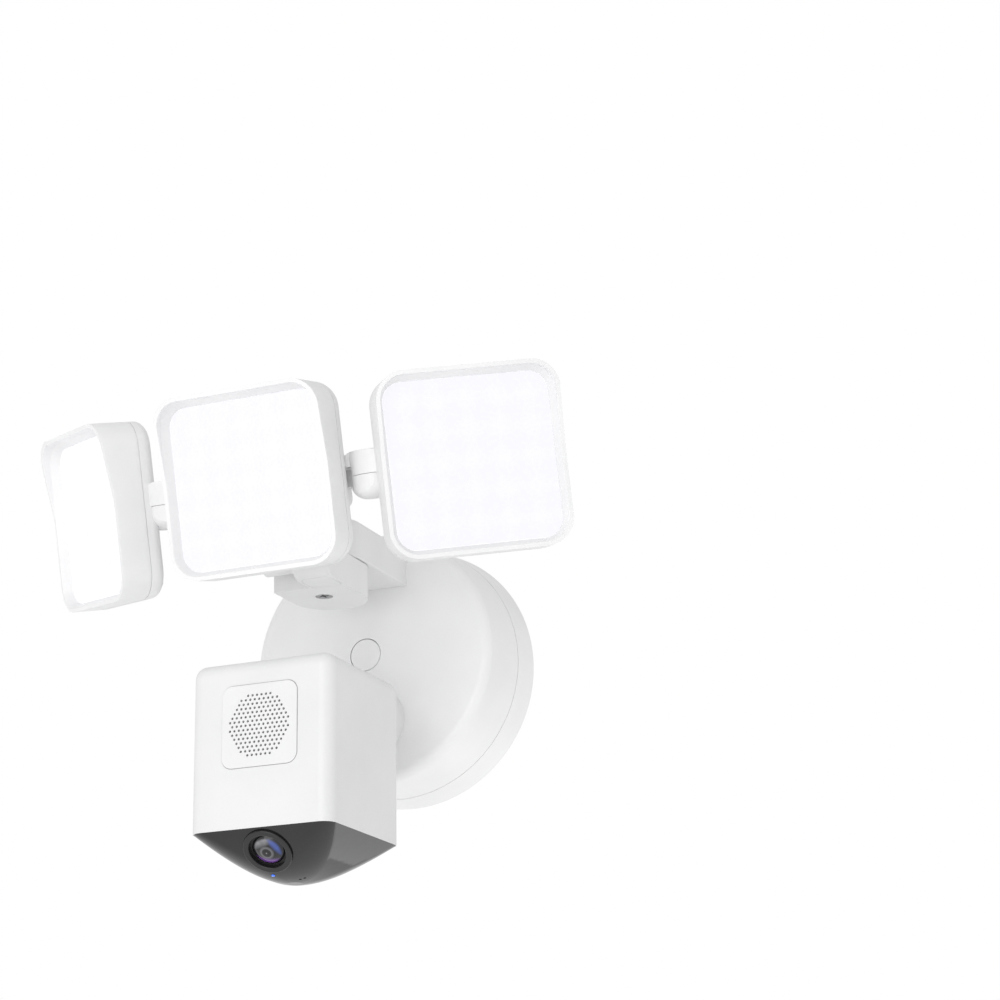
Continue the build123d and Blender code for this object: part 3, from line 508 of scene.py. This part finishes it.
class FLOODLIGHT_OT_lamps(bpy.types.Operator):
    """Finishes the three lamp housings, their back shells and hinge sockets"""

    bl_idname = "floodlight.lamps"
    bl_label = "Lamp housings"

    def execute(self, context):
        plastic = context.scene.floodlight_plastic
        # Painted light on the hoods: a darker copy of the white (tone 0.97) with a painted glow.
        hood = moulded_white("Hood white", plastic, bleeds_and_painted_glow=True, tone=0.97)
        put(hood, *[f"{k}_housing" for k in LAMPS])
        put(moulded_white("Back shell white", plastic), *[f"{k}_back_shell" for k in LAMPS])
        sockets = [f"{k}_socket_{part}" for k in LAMPS[1:] for part in ("cap", "base")]
        put(moulded_white("Hinge socket white", plastic), *sockets)
        return {"FINISHED"}


class FLOODLIGHT_OT_diffusers(bpy.types.Operator):
    """Finishes the lit diffusers, the light points and their boards"""

    bl_idname = "floodlight.diffusers"
    bl_label = "Diffusers and light points"

    def execute(self, context):
        lamp = context.scene.floodlight_lamp
        for k in LAMPS:
            put(lit_diffuser(f"{k.title()} opal", f"{k}_lens", lamp), f"{k}_lens")
        put(light_points("Phosphor", tuple(lamp.phosphor)), *[f"{k}_leds" for k in LAMPS])
        board = circuit_board("White solder mask", mask=(0.8, 0.8, 0.78), track=(0.55, 0.5, 0.36))
        put(board, *[f"{k}_led_board" for k in LAMPS])
        return {"FINISHED"}


class FLOODLIGHT_OT_electronics(bpy.types.Operator):
    """Finishes the boards and the parts of the power supply"""

    bl_idname = "floodlight.electronics"
    bl_label = "Electronics"

    def execute(self, context):
        green = circuit_board("Green solder mask", mask=(0.03, 0.2, 0.09), track=(0.12, 0.3, 0.1))
        put(green, "power_board", "main_board")
        tape = dull_plastic("Transformer tape", (0.7, 0.5, 0.08), roughness=0.35, grain=0.002)
        put(tape, "transformer")
        sleeve = dull_plastic("Capacitor sleeve", (0.05, 0.06, 0.12), roughness=0.25, grain=0.002)
        put(sleeve, "capacitors")
        put(dull_plastic("Terminal green", (0.06, 0.3, 0.13)), "terminal_block")
        put(dull_plastic("Switch black", (0.02, 0.02, 0.022)), "button_switch")
        put(dull_plastic("Speaker black", (0.008, 0.008, 0.009), roughness=0.7), "speaker")
        return {"FINISHED"}


class FLOODLIGHT_OT_fasteners(bpy.types.Operator):
    """Finishes every screw, bolt and hinge pin"""

    bl_idname = "floodlight.fasteners"
    bl_label = "Screws and pins"

    def execute(self, context):
        names = sorted(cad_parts)
        screws = [n for n in names if n.endswith("screws") or n in ("tilt_bolt", "camera_tilt_bolt")]
        pins = [n for n in names if n.endswith("_pin")]
        put(turned_steel("Plated steel"), *screws)
        put(turned_steel("Dark plated steel", (0.42, 0.42, 0.425), roughness=0.34), "pan_screw")
        put(turned_steel("Turned steel", (0.6, 0.6, 0.6), roughness=0.22), *pins)
        return {"FINISHED"}


class FLOODLIGHT_OT_camera_body(bpy.types.Operator):
    """Finishes the camera's white body, rear cover and speaker grille"""

    bl_idname = "floodlight.camera_body"
    bl_label = "Camera body"

    def execute(self, context):
        plastic = context.scene.floodlight_plastic
        # Painted shade: the camera body and grille are darker copies of the white (tone 0.94 and
        # 0.96).
        put(moulded_white("Camera white", plastic, tone=0.94), "camera_housing", "camera_rear_cover")
        put(moulded_white("Grille white", plastic, tone=0.96), "speaker_grille")
        return {"FINISHED"}


class FLOODLIGHT_OT_camera_eye(bpy.types.Operator):
    """Finishes the visor, the lens and the signal light"""

    bl_idname = "floodlight.camera_eye"
    bl_label = "Camera eye"

    def execute(self, context):
        eye = context.scene.floodlight_eye
        put(polished_black("Visor black", eye, eye.visor_roughness), "camera_visor")
        put(polished_black("Lens ring black", eye, roughness=0.2), "lens_ring")
        barrel = dull_plastic("Lens barrel black", (0.01, 0.01, 0.011), roughness=0.5, grain=0.0003)
        put(barrel, "lens_barrel")
        low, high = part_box("lens_glass")
        radius = (high.x - low.x) / 2
        put(coated_glass("Coated glass", eye, "lens_glass", radius), "lens_glass")
        put(coated_glass("Inner glass", eye, "inner_lens", radius / 2), "inner_lens")
        put(signal_lamp("Signal blue", tuple(eye.signal)), "status_light")
        return {"FINISHED"}


def soft_light(name, place, target, size, power):
    """A rectangular softbox at place, turned to target and unseen by the camera."""
    data = bpy.data.lights.new(name, "AREA")
    data.shape = "RECTANGLE"
    data.size, data.size_y = size
    data.energy = power
    lamp = bpy.data.objects.new(name, data)
    lamp.location = place
    lamp.rotation_euler = (target - place).to_track_quat("-Z", "Y").to_euler()
    lamp.visible_camera = False
    bpy.context.scene.collection.objects.link(lamp)


def pale_floor(settings):
    """A large plain floor, with some light of its own."""
    turns = ((-1, -1), (1, -1), (1, 1), (-1, 1))
    corners = [(x * FLOOR_REACH, y * FLOOR_REACH, -settings.floor_drop) for x, y in turns]
    mesh = bpy.data.meshes.new("studio_floor")
    mesh.from_pydata(corners, [], [(0, 1, 2, 3)])
    floor = bpy.data.objects.new("studio_floor", mesh)
    bpy.context.scene.collection.objects.link(floor)
    finish = Finish("Floor paint")
    white = tuple(settings.floor)
    finish.colour(finish.ramp(finish.noise(0.4, 3.0), (0.3, darker(white, 0.996)), (0.7, white)))
    finish.roughness(finish.spread(finish.noise(0.1), 0.6, 0.7))
    finish.set(Emission_Color=(*white, 1.0), Emission_Strength=settings.floor_lift)
    mesh.materials.append(finish.material)
    return floor


def white_surround(settings):
    """A plain world: soft light from all round, seen as white."""
    white = (1.0, 1.0, 1.0, 1.0)
    world = bpy.data.worlds.new("Studio")
    world.use_nodes = True
    tree = world.node_tree
    tree.nodes.clear()
    seen = tree.nodes.new("ShaderNodeBackground")
    seen.inputs["Color"].default_value = white
    soft = tree.nodes.new("ShaderNodeBackground")
    soft.inputs["Color"].default_value = white
    soft.inputs["Strength"].default_value = settings.ambient
    path = tree.nodes.new("ShaderNodeLightPath")
    mix = tree.nodes.new("ShaderNodeMixShader")
    output = tree.nodes.new("ShaderNodeOutputWorld")
    tree.links.new(path.outputs["Is Camera Ray"], mix.inputs["Fac"])
    tree.links.new(soft.outputs["Background"], mix.inputs[1])
    tree.links.new(seen.outputs["Background"], mix.inputs[2])
    tree.links.new(mix.outputs["Shader"], output.inputs["Surface"])
    bpy.context.scene.world = world


def place_camera(settings):
    """The camera, looking up at the object from its right."""
    data = bpy.data.cameras.new("Camera")
    data.lens = settings.lens
    data.sensor_width = SENSOR_WIDTH
    data.clip_start, data.clip_end = 0.05, 60.0
    camera = bpy.data.objects.new("Camera", data)
    camera.location = settings.place
    turn = Euler((math.pi / 2 + settings.pitch, 0.0, settings.yaw), "XYZ").to_matrix()
    camera.rotation_euler = (turn @ Matrix.Rotation(settings.roll, 3, "Z")).to_euler()
    bpy.context.scene.collection.objects.link(camera)
    bpy.context.scene.camera = camera


class FLOODLIGHT_OT_stage(bpy.types.Operator):
    """Builds the floor, the surround, the lights and the camera"""

    bl_idname = "floodlight.stage"
    bl_label = "Stage"

    def execute(self, context):
        settings = context.scene.floodlight_stage
        pale_floor(settings)
        white_surround(settings)
        low, high = CAD_BOX
        target = (low + high) / 2
        soft_light("Key", target + KEY_OFFSET, target, KEY_SIZE, settings.key)
        soft_light("Low card", target + CARD_OFFSET, target, CARD_SIZE, settings.fill)
        place_camera(settings)
        context.scene.view_settings.view_transform = "Standard"
        return {"FINISHED"}


# ------------------------------------------------------------------ panel and registration

STEPS = (
    FLOODLIGHT_OT_stage,
    FLOODLIGHT_OT_base,
    FLOODLIGHT_OT_bracket,
    FLOODLIGHT_OT_lamps,
    FLOODLIGHT_OT_diffusers,
    FLOODLIGHT_OT_electronics,
    FLOODLIGHT_OT_fasteners,
    FLOODLIGHT_OT_camera_body,
    FLOODLIGHT_OT_camera_eye,
)
SETTINGS = {
    "floodlight_plastic": PlasticSettings,
    "floodlight_lamp": LampSettings,
    "floodlight_eye": EyeSettings,
    "floodlight_stage": StageSettings,
}


class FLOODLIGHT_PT_panel(bpy.types.Panel):
    """Lists the settings and the steps"""

    bl_idname = "FLOODLIGHT_PT_panel"
    bl_label = "Floodlight camera"
    bl_space_type = "VIEW_3D"
    bl_region_type = "UI"
    bl_category = "Floodlight"

    def draw(self, context):
        for name, group in SETTINGS.items():
            box = self.layout.box()
            box.label(text=group.__doc__)
            values = getattr(context.scene, name)
            for key in group.__annotations__:
                box.prop(values, key)
        for step in STEPS:
            self.layout.operator(step.bl_idname)


CLASSES = (*SETTINGS.values(), *STEPS, FLOODLIGHT_PT_panel)


def register():
    """Adds the classes and the settings to Blender."""
    for cls in CLASSES:
        bpy.utils.register_class(cls)
    for name, group in SETTINGS.items():
        setattr(bpy.types.Scene, name, PointerProperty(type=group))


def unregister():
    """Takes the settings and the classes out again."""
    for name in SETTINGS:
        delattr(bpy.types.Scene, name)
    for cls in reversed(CLASSES):
        bpy.utils.unregister_class(cls)


def main():
    """Runs every step in order."""
    register()
    for step in STEPS:
        group, name = step.bl_idname.split(".")
        getattr(getattr(bpy.ops, group), name)()


if __name__ == "__main__":
    main()
